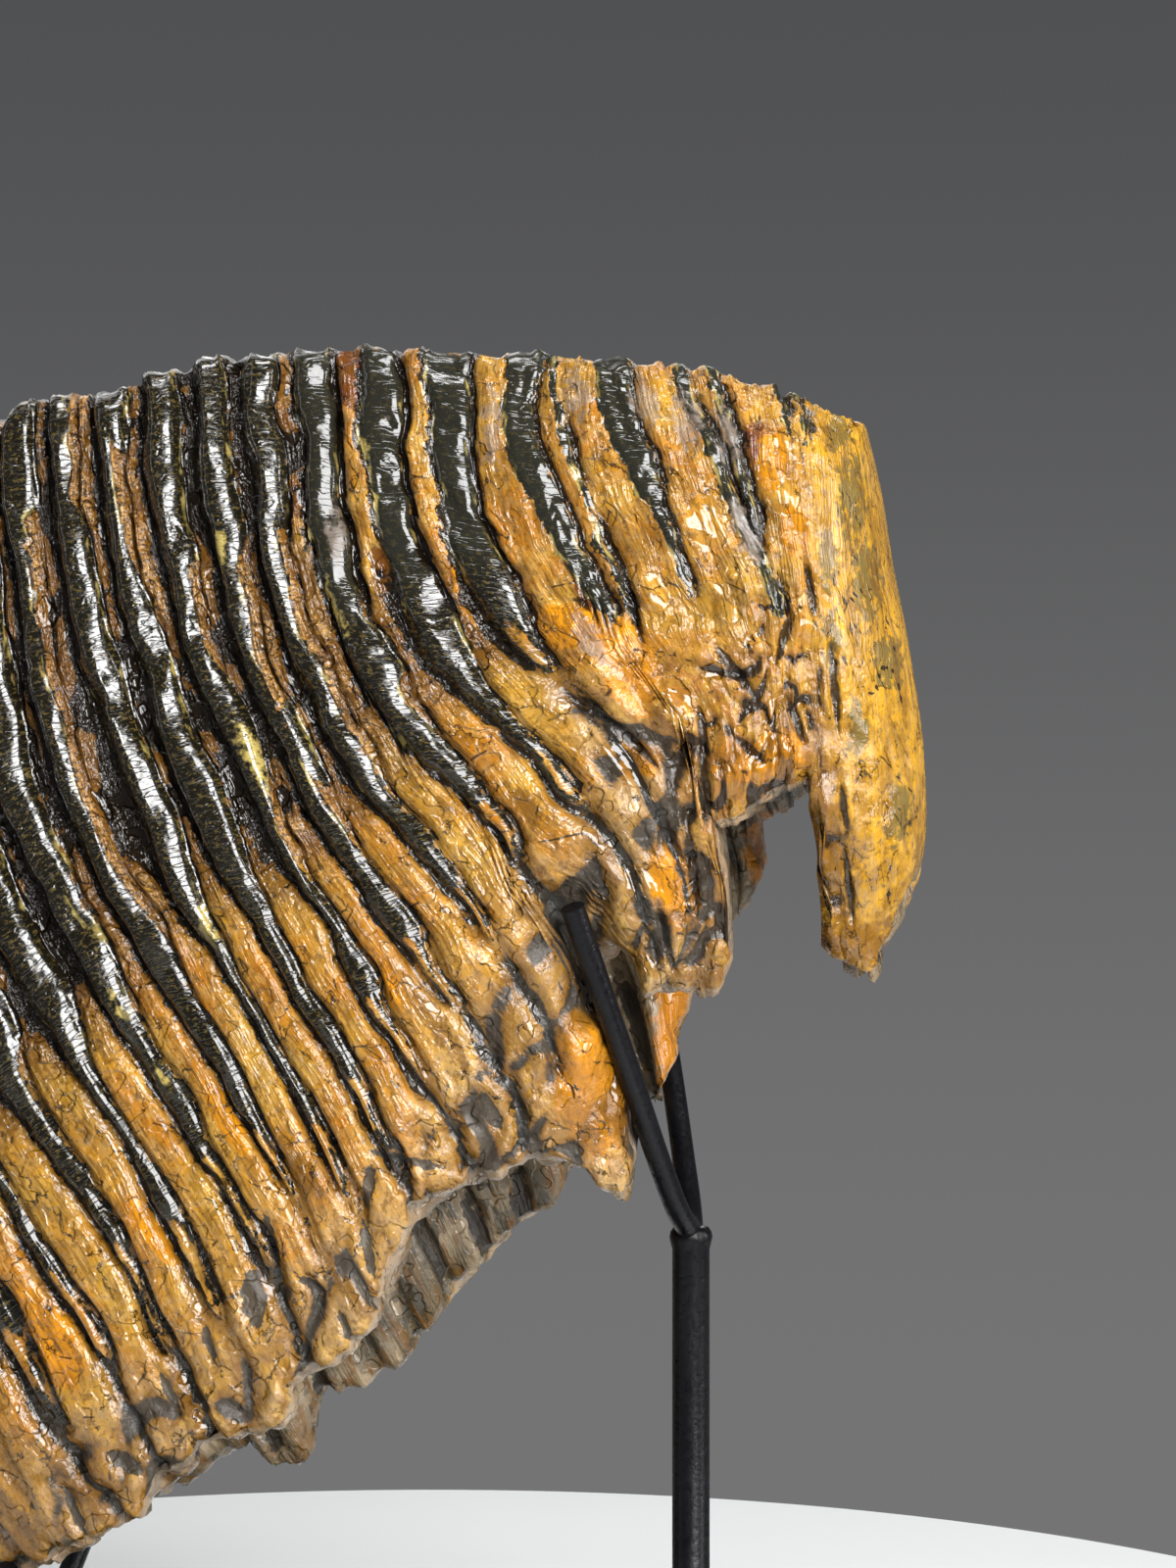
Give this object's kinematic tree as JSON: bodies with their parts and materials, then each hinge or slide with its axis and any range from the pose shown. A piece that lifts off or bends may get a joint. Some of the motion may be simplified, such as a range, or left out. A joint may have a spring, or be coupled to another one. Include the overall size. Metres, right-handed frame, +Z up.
{
  "type": "fossil mammoth tooth on stand",
  "caption": "Ridged fossil mammoth molar, chewing edge up, resting in two bent-rod cradles of a black steel display stand on a flat rectangular base.",
  "frame": {"origin": "middle of the base plate's underside", "axes": "+Z up, +X from the back of the tooth towards its front root, +Y from the near side to the far side of the tooth"},
  "size_m": [0.2525, 0.11, 0.3031],
  "materials": {
    "fossil_tooth": "varnished",
    "satin_black": "satin"
  },
  "bodies": {
    "root": {"mammoth_tooth": "fossil_tooth", "base_plate": "satin_black", "post_front": "satin_black", "post_back": "satin_black", "cradle_front": "satin_black", "cradle_back": "satin_black"}
  },
  "joints": []
}
